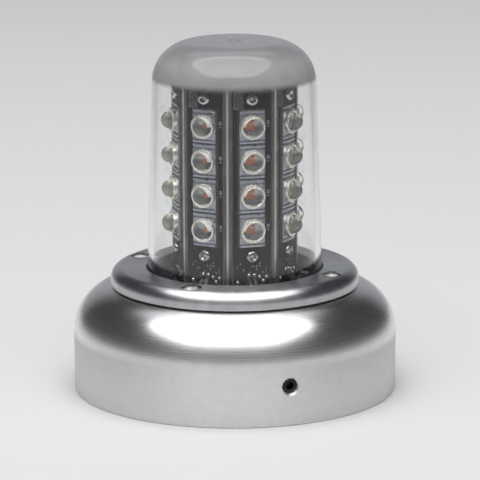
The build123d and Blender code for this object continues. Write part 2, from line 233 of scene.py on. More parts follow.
# %% A finish around one Principled shader
class Finish:
    """A procedural material: patterns go in as numbers and colours, constants on the shader itself."""

    def __init__(self, name, **constants):
        self.material = bpy.data.materials.new(name)
        self.material.use_nodes = True
        self.tree = self.material.node_tree
        self.tree.nodes.clear()
        self.shader = self.tree.nodes.new("ShaderNodeBsdfPrincipled")
        self.output = self.tree.nodes.new("ShaderNodeOutputMaterial")
        self.tree.links.new(self.shader.outputs[0], self.output.inputs["Surface"])
        for socket, value in constants.items():
            self.shader.inputs[socket.replace("_", " ")].default_value = value

    def node(self, kind, settings=None, **inputs):
        """Any node: its settings first, then values or links on its sockets."""
        node = self.tree.nodes.new(kind)
        for key, value in (settings or {}).items():
            setattr(node, key, value)
        for name, value in inputs.items():
            self.feed(node.inputs[name.replace("_", " ")], value)
        return node

    def feed(self, slot, value):
        """Set or link one socket."""
        if isinstance(value, Number):
            self.tree.links.new(value.socket, slot)
        elif isinstance(value, bpy.types.NodeSocket):
            self.tree.links.new(value, slot)
        elif isinstance(value, tuple) and len(value) == 3 and slot.type == "RGBA":
            slot.default_value = (*value, 1)
        else:
            slot.default_value = value

    def number(self, socket):
        return Number(self.tree, socket)

    def place(self):
        """Object coordinates in millimetres as three numbers."""
        node = self.node("ShaderNodeTexCoord")
        split = self.node("ShaderNodeSeparateXYZ", Vector=node.outputs["Object"])
        return [self.number(split.outputs[i]) * 1000 for i in range(3)]

    def chart(self):
        """The piece's own UV map in millimetres as two numbers."""
        node = self.node("ShaderNodeTexCoord")
        split = self.node("ShaderNodeSeparateXYZ", Vector=node.outputs["UV"])
        return [self.number(split.outputs[i]) * 1000 for i in range(2)]

    def vector(self, x, y, z):
        return self.node("ShaderNodeCombineXYZ", X=x, Y=y, Z=z).outputs[0]

    def noise(self, vector, scale, detail=3.0, roughness=0.5):
        """Soft noise between 0 and 1."""
        node = self.node("ShaderNodeTexNoise", Vector=vector, Scale=scale, Detail=detail, Roughness=roughness)
        return self.number(node.outputs["Fac"])

    def mix(self, share, first, second):
        """Blend two colours by a number."""
        node = self.node("ShaderNodeMix", {"data_type": "RGBA"})
        self.feed(node.inputs[0], share)
        self.feed(node.inputs[6], first)
        self.feed(node.inputs[7], second)
        return node.outputs[2]

    def bump(self, height, distance, strength=1.0):
        """Feed the Normal from a height; distance is in millimetres."""
        node = self.node("ShaderNodeBump", Height=height, Distance=distance * MM, Strength=strength)
        self.feed(self.shader.inputs["Normal"], node.outputs[0])

    def drive(self, **inputs):
        """Feed the shader's own sockets."""
        for name, value in inputs.items():
            self.feed(self.shader.inputs[name.replace("_", " ")], value)
        return self

    def lathe_place(self, along, across):
        """Vector for marks that run round the axis: slow round the piece, fast along its outline."""
        x, y, z = self.place()
        radius = (x * x + y * y).root() + 0.001
        return self.vector(x / radius * along, y / radius * along, (z - radius) * across)


print("shader classes ready")

# %% [markdown]
# ## Camera, floor and light
# The camera stands well back with a long lens and looks down a little, so the turned pieces show as
# flat ellipses. One large soft box hangs above the light and a little in front, and a pale floor fills the
# skirt from below. The floor's colour is painted darker towards the camera and to the sides, as painted shade
# where less light falls there, because the clear dome mirrors it. The room is dim, so that polished metal has
# something dark to reflect.

# %% Camera
VIEW_DISTANCE = 0.8
VIEW_PITCH = radians(12.9)
VIEW_HEIGHT = 0.03802
VIEW_ROLL = radians(0.2)
LENS = 235.0
SHIFT = 0.01125

back = Vector((0, -cos(VIEW_PITCH), sin(VIEW_PITCH)))
right = Vector((1, 0, 0))
up = back.cross(right)
rolled_right = right * cos(VIEW_ROLL) - up * sin(VIEW_ROLL)
rolled_up = right * sin(VIEW_ROLL) + up * cos(VIEW_ROLL)
turn = Matrix((rolled_right, rolled_up, back)).transposed().to_4x4()
camera_data = bpy.data.cameras.new("camera")
camera_data.lens = LENS
camera_data.sensor_width = 36.0
camera_data.shift_x = SHIFT
camera_data.clip_start = 0.01
camera = bpy.data.objects.new("camera", camera_data)
camera.matrix_world = Matrix.Translation(Vector((0, 0, VIEW_HEIGHT)) + back * VIEW_DISTANCE) @ turn
bpy.context.scene.collection.objects.link(camera)
bpy.context.scene.camera = camera
bpy.context.scene.view_settings.view_transform = "Standard"
print("camera at", tuple(round(v, 3) for v in camera.location))

# %% Floor
clear_selection()
bpy.ops.mesh.primitive_plane_add(size=6.0, location=(0, 0, 0))
floor = begin("floor")
floor_finish = Finish("pale_floor", Roughness=0.9)
x, y, z = floor_finish.place()
# Painted shade: the floor's colour is darkened towards the camera and to the sides, standing in for light
# falling off.
painted_floor_light = (1 - (0 - y).between(100.0, 380.0)) * (1 - abs(x).between(110.0, 260.0) * 0.6)
floor_finish.drive(Base_Color=floor_finish.mix(painted_floor_light, (0.38, 0.38, 0.38), (0.70, 0.70, 0.70)))
floor.data.materials.append(floor_finish.material)

# %% Lights
SOFT_BOX_HEIGHT = 1.76
SOFT_BOX_SIZE = (2.9, 2.7)
SOFT_BOX_WATTS = 68


def soft_edges(data):
    """Fade a rectangular lamp towards a rounded edge, as the cloth front of a soft box does."""
    data.use_nodes = True
    tree = data.node_tree
    place = tree.nodes.new("ShaderNodeNewGeometry")
    split = tree.nodes.new("ShaderNodeSeparateXYZ")
    tree.links.new(place.outputs["Parametric"], split.inputs[0])
    u, v = (abs(Number(tree, split.outputs[i]) * 2 - 1).maths("POWER", 3.2) for i in (0, 1))
    glow = (1 - u - v).between(0.0, 0.25)
    tree.links.new(glow.socket, tree.nodes["Emission"].inputs["Strength"])


def soft_box(name, centre, size, watts):
    """Rectangular soft light that faces straight down."""
    data = bpy.data.lights.new(name, "AREA")
    data.shape = "RECTANGLE"
    data.size, data.size_y = size
    data.energy = watts
    soft_edges(data)
    lamp = bpy.data.objects.new(name, data)
    lamp.location = centre
    bpy.context.scene.collection.objects.link(lamp)
    return lamp


soft_box("overhead_box", (-0.12, -0.68, SOFT_BOX_HEIGHT), SOFT_BOX_SIZE, SOFT_BOX_WATTS)

# %% [markdown]
# The room is nearly dark, with a pale wall low down behind the light. The soft box reaches further back than
# the lamp does. That far half is only a pale patch in the room, because a lamp there would light the floor
# too strongly. Its place is worked out on a ceiling one unit high.

# %% Room
world = bpy.data.worlds.new("dim_room")
bpy.context.scene.world = world
world.use_nodes = True
room = world.node_tree
look = room.nodes.new("ShaderNodeTexCoord")
split = room.nodes.new("ShaderNodeSeparateXYZ")
room.links.new(look.outputs["Generated"], split.inputs[0])
behind = Number(room, split.outputs[1])
low_down = 1 - abs(Number(room, split.outputs[2])).between(0.25, 0.6)
glow = 0.05 + behind.between(0.75, 1.0) * low_down * 0.34 + (0 - behind).between(0.3, 0.95) * low_down * 0.03
upward = Number(room, split.outputs[2]).maths("MAXIMUM", 0.05)
patch_x = abs(Number(room, split.outputs[0]) / upward + 0.07)
patch_y = behind / upward
far_box = patch_y.between(0.05, 0.4) * (1 - patch_y.between(0.75, 1.1)) * (1 - patch_x.between(0.35, 0.65))
glow = glow + far_box * 0.9
room.nodes["Background"].inputs[0].default_value = (0.92, 0.95, 1.0, 1)
room.links.new(glow.socket, room.nodes["Background"].inputs[1])
print("lights ready")

# %% [markdown]
# ## Housing
# The housing is turned from aluminium bar. Its skirt is left satin from the lathe, and the round shoulder
# is polished until it mirrors the soft box. The outline is drawn once round the wall, so that the socket
# under it is real, and the three radial screw holes are cut with one boolean.

# %% Housing outline
low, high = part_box("base_housing")
BASE_R = high.x / MM
SKIRT_H = 15.0
SHOULDER_R = 12.0
DECK_Z = SKIRT_H + SHOULDER_R
SOCKET_R = 36.25
SOCKET_TOP = 14.0
LEDGE_Z = 17.6
CAVITY_R = 31.0
CAVITY_Z = 24.0
LEDGE_R = 33.3
COLUMN_BOSS_R = 7.9
ROD_HOLE_R = 2.1
SET_SCREW_Z = 10.0
SET_SCREW_AZIMUTHS = (19.4, 139.4, -100.6)


def toward(radius, azimuth, z):
    """Point at a radius and azimuth; azimuth is from the front towards +X, in degrees."""
    a = radians(azimuth)
    return Vector((radius * sin(a) * MM, -radius * cos(a) * MM, z * MM))


def facing(radius, azimuth, z):
    """Matrix whose local Z points away from the axis with local Y up."""
    a = radians(azimuth)
    across = Vector((cos(a), sin(a), 0))
    out = Vector((sin(a), -cos(a), 0))
    matrix = Matrix((across, Vector((0, 0, 1)), out)).transposed().to_4x4()
    return Matrix.Translation(toward(radius, azimuth, z)) @ matrix


housing = turned("housing", [
    (SOCKET_R, 0), (BASE_R - 0.4, 0), (BASE_R - 0.12, 0.12), (BASE_R, 0.4), (BASE_R, SKIRT_H),
    *round_corner(BASE_R - SHOULDER_R, SKIRT_H, SHOULDER_R, 4, 90, 24),
    (COLUMN_BOSS_R, DECK_Z), (COLUMN_BOSS_R, DECK_Z + 1), (ROD_HOLE_R, DECK_Z + 1),
    (ROD_HOLE_R, CAVITY_Z), (CAVITY_R, CAVITY_Z), (CAVITY_R, LEDGE_Z), (LEDGE_R, LEDGE_Z),
    (LEDGE_R, SOCKET_TOP), (SOCKET_R, SOCKET_TOP),
])


# %% Cut the radial screw holes
def cut(piece, cutter):
    """Boolean difference, then throw the cutter away."""
    modifier = piece.modifiers.new("cut", "BOOLEAN")
    modifier.operation = "DIFFERENCE"
    modifier.solver = "EXACT"
    modifier.object = cutter
    apply_modifiers(piece)
    bpy.data.objects.remove(cutter, do_unlink=True)


def copies(source, name, places):
    """One mesh that holds a copy of the source at each place; the source is removed."""
    clear_selection()
    made = []
    for place in places:
        twin = source.copy()
        twin.data = source.data.copy()
        twin.matrix_world = place @ source.matrix_world
        bpy.context.scene.collection.objects.link(twin)
        made.append(twin)
    bpy.data.objects.remove(source, do_unlink=True)
    for twin in made:
        twin.select_set(True)
    bpy.context.view_layer.objects.active = made[0]
    if len(made) > 1:
        bpy.ops.object.join()
    piece = begin(name)
    settle(piece)
    return piece


SCREW_HOLE_R = 1.95
drill = turned("drill", [(0, -6), (SCREW_HOLE_R, -6), (SCREW_HOLE_R, -0.45), (SCREW_HOLE_R + 0.55, 0.1),
                         (SCREW_HOLE_R + 0.55, 1), (0, 1)], steps=48, closed=False)
drills = copies(drill, "drills", [facing(BASE_R, a, SET_SCREW_Z) for a in SET_SCREW_AZIMUTHS])
cut(housing, drills)

# %% Housing finish
housing_metal = Finish("housing_metal", Metallic=1.0, Anisotropic=0.8, Anisotropic_Rotation=0.25)
x, y, z = housing_metal.place()
lines = housing_metal.noise(housing_metal.lathe_place(0.6, 9.0), 1.0, 4, 0.6)
fine = housing_metal.noise(housing_metal.lathe_place(2.5, 30.0), 1.0, 2, 0.5)
mottle = housing_metal.noise(housing_metal.vector(x, y, z), 0.55, 4, 0.6)
polish = z.between(13.6, 16.6)
satin_rough = 0.40 + mottle * 0.10 + lines * 0.06
bright_rough = 0.235 + lines * 0.06
housing_metal.drive(Roughness=satin_rough * (1 - polish) + bright_rough * polish)
tone = (mottle * 0.5 + lines * 0.5).between(0.3, 0.7)
housing_metal.drive(Base_Color=housing_metal.mix(tone, (0.80, 0.79, 0.78), (0.89, 0.88, 0.87)))
housing_metal.bump(lines * 0.6 + fine * 0.4, 0.006, 0.5)
keep(housing, BODY, "base_housing", finish=housing_metal.material, angle=35, slot="housing_aluminium")

# %% [markdown]
# ## Clamp ring
# The ring is a second turned piece. Its flat top keeps fine facing marks, its outer edge is rounded and
# polished, and four conical seats take the raised screw heads.

# %% Clamp ring
low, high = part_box("clamp_ring")
RING_R = high.x / MM
RING_LOW = low.z / MM
RING_TOP = high.z / MM
RING_FILLET = 3.0
RING_BORE_R = 22.6
FLANGE_R = 24.6
FLANGE_TOP = 30.0
RING_SCREW_PCR = 26.7
RING_SCREW_AZIMUTHS = (-24, 66, 156, 246)
RING_HEAD_R = 2.65

ring = turned("ring", [
    (FLANGE_R, RING_LOW), (RING_R - 0.15, RING_LOW), (RING_R, RING_LOW + 0.15),
    (RING_R, RING_TOP - RING_FILLET),
    *round_corner(RING_R - RING_FILLET, RING_TOP - RING_FILLET, RING_FILLET, 6, 90, 14),
    (RING_BORE_R + 0.2, RING_TOP), (RING_BORE_R, RING_TOP - 0.2), (RING_BORE_R, FLANGE_TOP),
    (FLANGE_R, FLANGE_TOP),
])
SINK_R = RING_HEAD_R + 0.05
sink = turned("sink", [(0, -6), (1.6, -6), (1.6, -1.05), (SINK_R, 0), (SINK_R, 1), (0, 1)],
              steps=48, closed=False)
cut(ring, copies(sink, "sinks", [Matrix.Translation(toward(RING_SCREW_PCR, a, RING_TOP))
                                 for a in RING_SCREW_AZIMUTHS]))

# %% Ring finish
ring_metal = Finish("ring_metal", Metallic=1.0, Anisotropic=0.8, Anisotropic_Rotation=0.25)
facing_marks = ring_metal.noise(ring_metal.lathe_place(0.5, 14.0), 1.0, 4, 0.65)
cloud = ring_metal.noise(ring_metal.vector(*ring_metal.place()), 0.35, 3, 0.5)
ring_metal.drive(Roughness=0.23 + facing_marks * 0.08 + cloud * 0.05)
ring_metal.drive(Base_Color=ring_metal.mix(cloud.between(0.3, 0.7), (0.57, 0.57, 0.59), (0.66, 0.66, 0.68)))
ring_metal.bump(facing_marks, 0.006, 0.6)
keep(ring, BODY, "clamp_ring", finish=ring_metal.material, angle=35, slot="ring_aluminium")

# %% [markdown]
# ## Dome
# The real dome is a clear moulded tube with a slight draft and a bonded crown whose wall is frosted grey.
# The bond can't be seen, so the looks have one closed wall for both, and the grey fades in over two
# millimetres at the joint. Lamps are let straight through the clear wall, because a path tracer would
# otherwise leave the inside dark.

# %% Dome
low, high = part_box("lens_tube")
DOME_FOOT_Z = low.z / MM
DOME_JOINT_Z = high.z / MM
FLANGE_TIP_R = high.x / MM
low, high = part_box("lens_cap")
CROWN_TOP = high.z / MM
DOME_FOOT_R = 22.45
DOME_TOP_R = 20.83
DOME_CROWN_Z = 79.0
DOME_WALL = 1.5
CORNER_R = CROWN_TOP - DOME_CROWN_Z
CORNER_CENTRE = DOME_TOP_R - CORNER_R


def dome_radius(z):
    """Outside radius of the drafted wall."""
    return DOME_FOOT_R + (DOME_TOP_R - DOME_FOOT_R) * (z - DOME_FOOT_Z) / (DOME_CROWN_Z - DOME_FOOT_Z)


dome = turned("dome", [
    (0, CROWN_TOP - DOME_WALL), (CORNER_CENTRE - 0.7, CROWN_TOP - DOME_WALL),
    *round_corner(CORNER_CENTRE, DOME_CROWN_Z, CORNER_R - DOME_WALL, 90, 0, 20),
    (DOME_FOOT_R - DOME_WALL, DOME_FOOT_Z), (FLANGE_TIP_R, DOME_FOOT_Z), (FLANGE_TIP_R, FLANGE_TOP - 0.2),
    (FLANGE_TIP_R - 0.2, FLANGE_TOP), (dome_radius(FLANGE_TOP) + 0.1, FLANGE_TOP),
    (dome_radius(FLANGE_TOP), FLANGE_TOP + 0.1),
    *round_corner(CORNER_CENTRE, DOME_CROWN_Z, CORNER_R, 0, 90, 28),
    (CORNER_CENTRE - 0.7, CROWN_TOP), (3.0, CROWN_TOP), (2.0, CROWN_TOP), (1.75, CROWN_TOP - 0.12),
    (1.5, CROWN_TOP), (1.2, CROWN_TOP), (1.05, CROWN_TOP - 0.04),
    (0.9, CROWN_TOP - 0.2), (0.7, CROWN_TOP - 0.25), (0, CROWN_TOP - 0.25),
], closed=False)


# %% Glass that lets lamps through
def through_glass(finish, tint):
    """Mix the finish's glass with plain transparency for shadow rays, and return the mixed shader."""
    lamp_way = finish.node("ShaderNodeBsdfTransparent", Color=tint)
    light_path = finish.node("ShaderNodeLightPath")
    share = finish.node("ShaderNodeMixShader", Fac=light_path.outputs["Is Shadow Ray"])
    finish.tree.links.new(finish.shader.outputs[0], share.inputs[1])
    finish.tree.links.new(lamp_way.outputs[0], share.inputs[2])
    finish.tree.links.new(share.outputs[0], finish.output.inputs["Surface"])
    return share.outputs[0]


clear_plastic = Finish("clear_plastic", Base_Color=(0.985, 0.99, 0.99, 1), Roughness=0.02, IOR=1.49,
                       Transmission_Weight=1.0)
clear_wall = through_glass(clear_plastic, (0.93, 0.935, 0.935))
frost = clear_plastic.node("ShaderNodeBsdfPrincipled", IOR=1.5)
x, y, z = clear_plastic.place()
grain = clear_plastic.noise(clear_plastic.vector(x, y, z), 9.0, 2, 0.5)
cloud = clear_plastic.noise(clear_plastic.vector(x, y, z), 0.25, 3, 0.5)
# Painted shade: the crown's top is coloured a darker grey than its sides, standing in for the shade on its
# top; the side grey is the crown's own frosted colour.
painted_top_shade = z.between(84.0, 88.8)
side_grey = clear_plastic.mix(cloud.between(0.3, 0.7), (0.37, 0.375, 0.38), (0.405, 0.41, 0.415))
painted_shade_grey = clear_plastic.mix(cloud.between(0.3, 0.7), (0.235, 0.24, 0.245), (0.265, 0.27, 0.275))
clear_plastic.feed(frost.inputs["Base Color"], clear_plastic.mix(painted_top_shade, side_grey, painted_shade_grey))
clear_plastic.feed(frost.inputs["Roughness"], 0.08 + cloud * 0.05)
pores = clear_plastic.node("ShaderNodeBump", Height=grain, Distance=0.01 * MM, Strength=0.15)
clear_plastic.feed(frost.inputs["Normal"], pores.outputs[0])
fade = z.between(DOME_CROWN_Z + 0.2, DOME_JOINT_Z + 1.1)
spray = clear_plastic.node("ShaderNodeMixShader", Fac=fade)
clear_plastic.tree.links.new(clear_wall, spray.inputs[1])
clear_plastic.tree.links.new(frost.outputs[0], spray.inputs[2])
clear_plastic.tree.links.new(spray.outputs[0], clear_plastic.output.inputs["Surface"])
keep(dome, BODY, "lens_tube", "lens_cap", finish=clear_plastic.material, angle=40, slot="clear_polycarbonate")

# %% [markdown]
# ## Column
# The column is an extruded, anodised heat sink with eight slots. It stays as the engineering model made it,
# because its faces are flat, and only gets its finish: fine die lines that run up the extrusion, and a
# painted highlight, a bright line of colour along each corner that stands in for the light the corners catch.

# %% Column finish
SIDES = 8
COLUMN_TURN = 16.4
COLUMN_R = 16.1
FACE_R = COLUMN_R * cos(pi / SIDES)
FACE_AZIMUTHS = [COLUMN_TURN + i * 360 / SIDES for i in range(SIDES)]


def dress(name, finish):
    """Give a CAD node its material."""
    nodes[name].data.materials.clear()
    nodes[name].data.materials.append(finish.material)


extruded = Finish("extruded_aluminium", Metallic=1.0, Roughness=0.4)
x, y, z = extruded.place()
die_lines = extruded.noise(extruded.vector(x * 5, y * 5, z * 0.05), 1.0, 3, 0.6)
cloud = extruded.noise(extruded.vector(x, y, z), 0.3, 3, 0.5)
dull = extruded.mix(cloud.between(0.3, 0.7), (0.12, 0.12, 0.115), (0.18, 0.178, 0.17))
# Painted highlight: a bright base colour along each outer corner of the column.
painted_corner_highlight = (x * x + y * y).between(COLUMN_R ** 2 - 5.0, COLUMN_R ** 2 - 1.5)
extruded.drive(Roughness=0.24 + die_lines * 0.16, Base_Color=extruded.mix(painted_corner_highlight, dull, (0.62, 0.62, 0.60)))
extruded.bump(die_lines, 0.01, 0.4)
dress("column_core", extruded)
dress("top_plate", extruded)

# %% [markdown]
# ## Circuit boards
# Each board is a black glass-fibre board. It is modelled once in its own face coordinates, with X across, Y
# up and Z out of the face, and gets a UV map in metres on those axes. The printed marks are drawn from that
# map, so they sit at the same place on all eight copies. The cut edges show bare brown laminate.

# %% Pick faces and edges in code
def pick(piece, kind, test):
    """Edit mode with only the faces or edges for which test(centre, direction) is true selected."""
    activate(piece)
    mesh = piece.data
    for group in (mesh.vertices, mesh.edges, mesh.polygons):
        for element in group:
            element.select = False
    if kind == "FACE":
        for face in mesh.polygons:
            face.select = test(face.center / MM, face.normal)
    else:
        for edge in mesh.edges:
            a, b = (mesh.vertices[i].co for i in edge.vertices)
            edge.select = test((a + b) / 2 / MM, (b - a).normalized())
    bpy.ops.object.mode_set(mode="EDIT")
    bpy.ops.mesh.select_mode(type=kind)


def object_mode():
    bpy.ops.object.mode_set(mode="OBJECT")


def slab(name, width, height, z0, z1, at=(0, 0)):
    """Rectangular block in face coordinates, as the start of a piece."""
    clear_selection()
    bpy.ops.mesh.primitive_cube_add(size=1, location=(at[0] * MM, at[1] * MM, (z0 + z1) / 2 * MM))
    piece = begin(name)
    piece.scale = (width * MM, height * MM, (z1 - z0) * MM)
    settle(piece)
    return piece


# %% Board
BOARD_W = 10.0
BOARD_T = 1.6
low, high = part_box("led_board_1")
BOARD_LOW = low.z / MM
BOARD_HIGH = high.z / MM
BOARD_SCREW_ZS = (37.1, 77.2)
LED_ZS = (43.9, 52.7, 61.5, 70.3)
LED_W = 6.4
LED_H = 8.5
LED_T = 0.6

board = slab("board", BOARD_W, BOARD_HIGH - BOARD_LOW, -BOARD_T, 0, (0, (BOARD_HIGH + BOARD_LOW) / 2))
pick(board, "EDGE", lambda c, d: abs(d.z) < 0.5 and c.z > -0.1)
bpy.ops.mesh.bevel(offset=0.16 * MM, segments=1)
object_mode()
chart = board.data.uv_layers[0]
for loop in board.data.loops:
    spot = board.data.vertices[loop.vertex_index].co
    chart.data[loop.index].uv = (spot.x, spot.y)

# %% Printed marks
mask = Finish("black_solder_mask", IOR=1.5, Specular_IOR_Level=0.12)
u, v = mask.chart()


def band(value, centre, half):
    """1 within half of centre, 0 outside."""
    return abs(value - centre) < half


weave = mask.noise(mask.vector(u, v, 0.0), 3.0, 3, 0.6)
fibre = (u * 9.0).sine() * (v * 9.0).sine()
MARK_U = 4.25
marks = 0
for led_z in LED_ZS:
    frame_mark = band(u, MARK_U, 0.32) * band(v, led_z + 0.9, 0.42)
    hollow = band(u, MARK_U, 0.17) * band(v, led_z + 0.9, 0.22)
    bar_mark = band(u, MARK_U, 0.30) * band(v, led_z - 0.1, 0.09)
    marks = marks + frame_mark - hollow + bar_mark
dash = mask.noise(mask.vector(u * 3.0, (v * 2.2).maths("FLOOR") * 5, 7.0), 1.0, 0, 0.5) > 0.46
rows = band((v * 2.2).maths("FRACT"), 0.5, 0.28)
note = band(u, -3.3, 1.3) * band(v, 77.3, 2.6) * rows * dash
foot_cell = mask.vector((u * 1.2).maths("FLOOR"), (v * 1.2).maths("FLOOR"), 3.0)
foot_dash = mask.noise(foot_cell, 1.9, 0, 0.5) > 0.5
foot_tick = band((u * 1.2).maths("FRACT"), 0.5, 0.22) * band((v * 1.2).maths("FRACT"), 0.5, 0.34)
foot = band(u, 0.0, 3.8) * band(v, 34.2, 1.4) * foot_dash * foot_tick
outlines = 0
for led_z in LED_ZS:
    outer = band(u, 0.0, LED_W / 2 + 0.28) * band(v, led_z, LED_H / 2 + 0.16)
    inner = band(u, 0.0, LED_W / 2 + 0.16) * band(v, led_z, LED_H / 2 + 0.05)
    outlines = outlines + (outer - inner).clamped() * 0.5
ink = (marks + note * 0.9 + foot * 0.5 + outlines).clamped()
base = mask.mix(weave.between(0.3, 0.7), (0.006, 0.006, 0.008), (0.016, 0.015, 0.018))
mask.drive(Base_Color=mask.mix(ink * 0.8, base, (0.50, 0.50, 0.55)),
           Roughness=0.34 + weave * 0.12 + ink * 0.2)
mask.bump(weave * 0.5 + fibre * 0.1 + ink * 0.5, 0.02, 0.5)

laminate = Finish("bare_laminate", Roughness=0.7)
x, y, z = laminate.place()
plies = laminate.noise(laminate.vector(x * 4, y * 4, z * 0.4), 1.0, 3, 0.6)
laminate.drive(Base_Color=laminate.mix(plies, (0.10, 0.075, 0.05), (0.22, 0.17, 0.12)))
laminate.bump(plies, 0.02, 0.4)

board.data.materials.append(mask.material)
board.data.materials.append(laminate.material)
for face in board.data.polygons:
    face.material_index = 0 if face.normal.z > 0.95 else 1

for number, azimuth in enumerate(FACE_AZIMUTHS, start=1):
    twin = board.copy()
    twin.data = board.data.copy()
    twin.matrix_world = facing(FACE_R, azimuth, 0)
    bpy.context.scene.collection.objects.link(twin)
    settle(twin)
    twin.name = f"board_{number}"
    keep(twin, BODY, f"led_board_{number}", slot="black_board")
bpy.data.objects.remove(board, do_unlink=True)
print("boards", len(FACE_AZIMUTHS))

# %% [markdown]
# ## Light emitters
# An emitter is a flat plated package with a strip contact above and below, a pale metal ring, an orange
# die in a polished cup, and a clear domed lens over it. Each of its four pieces is modelled once, at the
# centre of a face, and copied to the 32 places.

# %% Emitter places
EMITTER_PLACES = [facing(FACE_R, azimuth, z) for azimuth in FACE_AZIMUTHS for z in LED_ZS]
CUP_TOP_R = 2.2
CUP_FLOOR_R = 1.3
CUP_FLOOR = 0.25
LED_RING_R = 3.1
LED_RING_BORE_R = 2.4
LED_RING_TOP = LED_T + 1.1
LED_LENS_R = 2.3
LED_TIP = 3.9
BALL_Z = LED_TIP - LED_LENS_R

# %% Package
GROOVE_Y = 3.6
GROOVE_W = 0.55
package = slab("package", LED_W, LED_H, 0, LED_T)
bpy.ops.object.mode_set(mode="EDIT")
for edge_y in (GROOVE_Y - GROOVE_W, GROOVE_Y, -GROOVE_Y, GROOVE_W - GROOVE_Y):
    bpy.ops.mesh.select_all(action="SELECT")
    bpy.ops.mesh.bisect(plane_co=(0, edge_y * MM, 0), plane_no=(0, 1, 0))
pick(package, "FACE", lambda c, n: n.z > 0.9 and GROOVE_Y - GROOVE_W < abs(c.y) < GROOVE_Y)
bpy.ops.mesh.extrude_region_move(TRANSFORM_OT_translate={"value": (0, 0, -0.4 * MM)})
pick(package, "EDGE", lambda c, d: abs(d.z) > 0.9 and abs(c.x) > 3.1 and abs(c.y) > 4.1)
bpy.ops.mesh.bevel(offset=0.3 * MM, segments=1)
pick(package, "EDGE", lambda c, d: c.z > LED_T - 0.01)
bpy.ops.mesh.bevel(offset=0.05 * MM, segments=2)
object_mode()
cup = turned("cup", [(0, CUP_FLOOR), (CUP_FLOOR_R, CUP_FLOOR), (CUP_TOP_R, LED_T), (CUP_TOP_R, 2), (0, 2)],
             steps=40, closed=False)
cut(package, cup)

plated = Finish("plated_package", Metallic=0.85, Roughness=0.3)
x, y, z = plated.place()
patches = plated.noise(plated.vector(x, y, z), 1.1, 3, 0.6)
plated.drive(Roughness=0.22 + patches * 0.16,
             Base_Color=plated.mix(patches.between(0.3, 0.7), (0.30, 0.33, 0.40), (0.52, 0.53, 0.55)))
plated.bump(patches, 0.02, 0.4)
packages = copies(package, "emitter_packages", EMITTER_PLACES)
keep(packages, BODY, "led_packages", finish=plated.material, slot="emitter_silver")

# %% Ring round each lens
led_ring = turned("led_ring", [
    (LED_RING_BORE_R, LED_T), (LED_RING_R, LED_T), (LED_RING_R, LED_RING_TOP - 0.15),
    *round_corner(LED_RING_R - 0.15, LED_RING_TOP - 0.15, 0.15, 20, 90, 3),
    (LED_RING_R - 0.45, LED_RING_TOP), (LED_RING_BORE_R, LED_RING_TOP - 0.35),
], steps=40)
pale_ring = Finish("pale_ring", Metallic=0.8)
x, y, z = pale_ring.place()
tint = pale_ring.noise(pale_ring.vector(x, y, z), 0.9, 2, 0.5)
pale_ring.drive(Base_Color=pale_ring.mix(tint.between(0.3, 0.7), (0.88, 0.85, 0.76), (0.95, 0.94, 0.88)),
                Roughness=0.20 + tint * 0.14)
led_rings = copies(led_ring, "emitter_rings", EMITTER_PLACES)
keep(led_rings, BODY, "led_rings", finish=pale_ring.material, slot="emitter_ring_metal")

# %% Die
die = slab("die", 1.1, 1.1, CUP_FLOOR, CUP_FLOOR + 0.15)
pick(die, "FACE", lambda c, n: n.z > 0.9)
bpy.ops.mesh.inset(thickness=0.14 * MM, depth=0)
bpy.ops.mesh.extrude_region_move(TRANSFORM_OT_translate={"value": (0, 0, -0.03 * MM)})
object_mode()
phosphor = Finish("orange_die", Roughness=0.45, IOR=1.6)
x, y, z = phosphor.place()
speckle = phosphor.noise(phosphor.vector(x, y, z), 4.0, 3, 0.7)
phosphor.drive(Base_Color=phosphor.mix(speckle.between(0.3, 0.7), (0.36, 0.08, 0.03), (0.66, 0.24, 0.10)),
               Roughness=0.35 + speckle * 0.2)
dies = copies(die, "emitter_dies", EMITTER_PLACES)
keep(dies, BODY, "led_chips", finish=phosphor.material, slot="emitter_die")

# %% Lens
dome_line = round_corner(0, BALL_Z, LED_LENS_R, 0, 84, 14)
led_lens = turned("led_lens", [
    (0, CUP_FLOOR + 0.2), (CUP_FLOOR_R - 0.02, CUP_FLOOR + 0.2), (CUP_TOP_R - 0.05, LED_T - 0.01),
    (LED_LENS_R, LED_T), *dome_line, (0, LED_TIP),
], steps=40, closed=False)
silicone = Finish("clear_silicone", Base_Color=(0.97, 0.945, 0.91, 1), Roughness=0.0, IOR=1.45,
                  Transmission_Weight=1.0)
through_glass(silicone, (0.96, 0.95, 0.93))
led_lenses = copies(led_lens, "emitter_lenses", EMITTER_PLACES)
keep(led_lenses, BODY, "led_lenses", finish=silicone.material, angle=50, slot="emitter_lens")

# %% [markdown]
# ## Screws
# The board screws have pan heads with a deep cross recess, and the ring screws have raised countersunk
# heads. Both are turned, and the recess is cut with two crossed wedges that narrow with depth.

# %% Cross recess cutter
def cross_cutter(name, reach, arm, depth, top):
    """Two crossed wedges, narrower at the bottom, one after the other."""
    blades = []
    for turn_angle in (0, pi / 2):
        blade = slab(name, reach, arm, top - depth, top + 0.6)
        pick(blade, "FACE", lambda c, n: n.z < -0.9)
        bpy.ops.transform.resize(value=(0.45, 0.8, 1))
        object_mode()
        blade.data.transform(Matrix.Rotation(turn_angle, 4, "Z"))
        blades.append(blade)
    return blades


def pan_screw(name, head_r, head_h, shank_r, shank_l, recess):
    """Turned pan-head screw with its seat at Z zero, a dished middle and its cross recess."""
    crown_line = round_corner(head_r - 0.6 * head_h, 0.4 * head_h, 0.6 * head_h, 0, 90, 6)
    screw = turned(name, [(0, -shank_l), (shank_r, -shank_l), (shank_r, 0), (head_r, 0), *crown_line,
                          (0.62 * head_r, 0.94 * head_h), (0.3 * head_r, 0.5 * head_h), (0, 0.48 * head_h)],
                   steps=36, closed=False)
    for blade in cross_cutter("blade", *recess):
        cut(screw, blade)
    return screw


